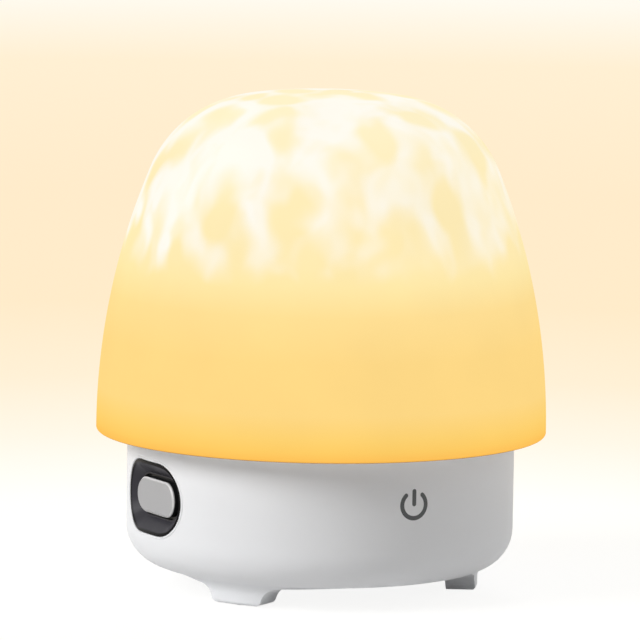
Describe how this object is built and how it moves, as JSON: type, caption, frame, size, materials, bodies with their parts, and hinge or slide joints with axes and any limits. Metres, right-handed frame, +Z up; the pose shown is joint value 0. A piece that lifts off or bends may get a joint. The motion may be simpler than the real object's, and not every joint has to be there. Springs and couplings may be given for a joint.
{
  "type": "night light with speaker",
  "caption": "Glowing opal dome on a white drum base with a downward speaker, arched feet, side push button, touch front and a motor-driven ripple projector inside.",
  "frame": {"origin": "middle of the standing plane, under the axis of the dome", "axes": "+Z up along the axis of the dome, -Y towards the front with the touch symbol, -X towards the side button"},
  "size_m": [0.134, 0.134, 0.148],
  "materials": {
    "opal_plastic": "opal, glowing warm",
    "white_plastic": "fine satin moulded",
    "charcoal_plastic": "polished",
    "grey_plastic": "satin",
    "soft_pad": "soft matte",
    "screw_steel": "zinc plated",
    "plated_steel": "nickel plated",
    "black_steel": "black coated",
    "ferrite": "sintered",
    "black_rubber": "soft matte",
    "cone_paper": "pressed paper",
    "spider_cloth": "resin-dipped cloth",
    "copper": "bare copper",
    "green_board": "solder mask",
    "white_board": "white solder mask",
    "black_package": "moulded epoxy",
    "led_package": "phosphor gel",
    "sink_aluminium": "bare",
    "clear_lens": "clear moulded",
    "cell_wrap": "shrink film",
    "grey_foam": "foam tape"
  },
  "bodies": {
    "housing": {"dome_diffuser": "opal_plastic", "light_tray": "white_plastic", "base_shell": "white_plastic", "foot_pads": "soft_pad", "case_screws": "screw_steel", "speaker_grille": "white_plastic", "speaker_gasket": "black_rubber", "speaker_frame": "black_steel", "speaker_screws": "screw_steel", "speaker_surround": "black_rubber", "speaker_spider": "spider_cloth", "speaker_top_plate": "plated_steel", "speaker_magnet": "ferrite", "speaker_yoke": "plated_steel", "main_board": "green_board", "board_chips": "black_package", "board_capacitors": "plated_steel", "wireless_module": "plated_steel", "board_screws": "screw_steel", "battery_cell": "cell_wrap", "battery_foam": "grey_foam", "port_board": "green_board", "usb_socket": "plated_steel", "button_bezel": "charcoal_plastic", "button_board": "green_board", "button_switch": "black_package", "touch_electrode": "copper", "led_board": "white_board", "ring_leds": "led_package", "ir_receiver": "black_package", "heat_sink": "sink_aluminium", "star_board": "white_board", "projector_led": "led_package", "condenser_lens": "clear_lens", "projector_tower": "white_plastic", "deck_screws": "screw_steel", "projector_cap": "white_plastic", "cap_screws": "screw_steel", "fixed_ripple_lens": "clear_lens", "motor_bracket": "plated_steel", "gear_motor": "plated_steel", "motor_screws": "screw_steel"},
    "button": {"side_button": "grey_plastic", "switch_plunger": "black_package"},
    "wheel": {"ripple_wheel": "white_plastic", "ripple_glass": "clear_lens"},
    "pinion": {"motor_shaft": "screw_steel", "motor_pinion": "white_plastic"},
    "cone": {"speaker_cone": "cone_paper", "dust_cap": "cone_paper", "voice_coil": "copper"}
  },
  "joints": [
    {"name": "button_press", "type": "slide", "parent": "housing", "child": "button", "axis": [1, 0, 0], "range_m": [0, 0.0006], "stiffness_N_per_m": 800},
    {"name": "wheel_spin", "type": "hinge", "parent": "housing", "child": "wheel", "pos_m": [0, 0, 0.0765], "axis": [0, 0, 1], "continuous": true},
    {"name": "pinion_spin", "type": "hinge", "parent": "housing", "child": "pinion", "pos_m": [0.033, 0, 0.0765], "axis": [0, 0, 1], "continuous": true},
    {"name": "cone_stroke", "type": "slide", "parent": "housing", "child": "cone", "axis": [0, 0, 1], "range_m": [-0.0005, 0.0005], "stiffness_N_per_m": 1500, "deforming": ["speaker_surround", "speaker_spider"]}
  ],
  "couplings": [
    {"joint": "pinion_spin", "follows": "wheel_spin", "ratio": -4.5}
  ]
}
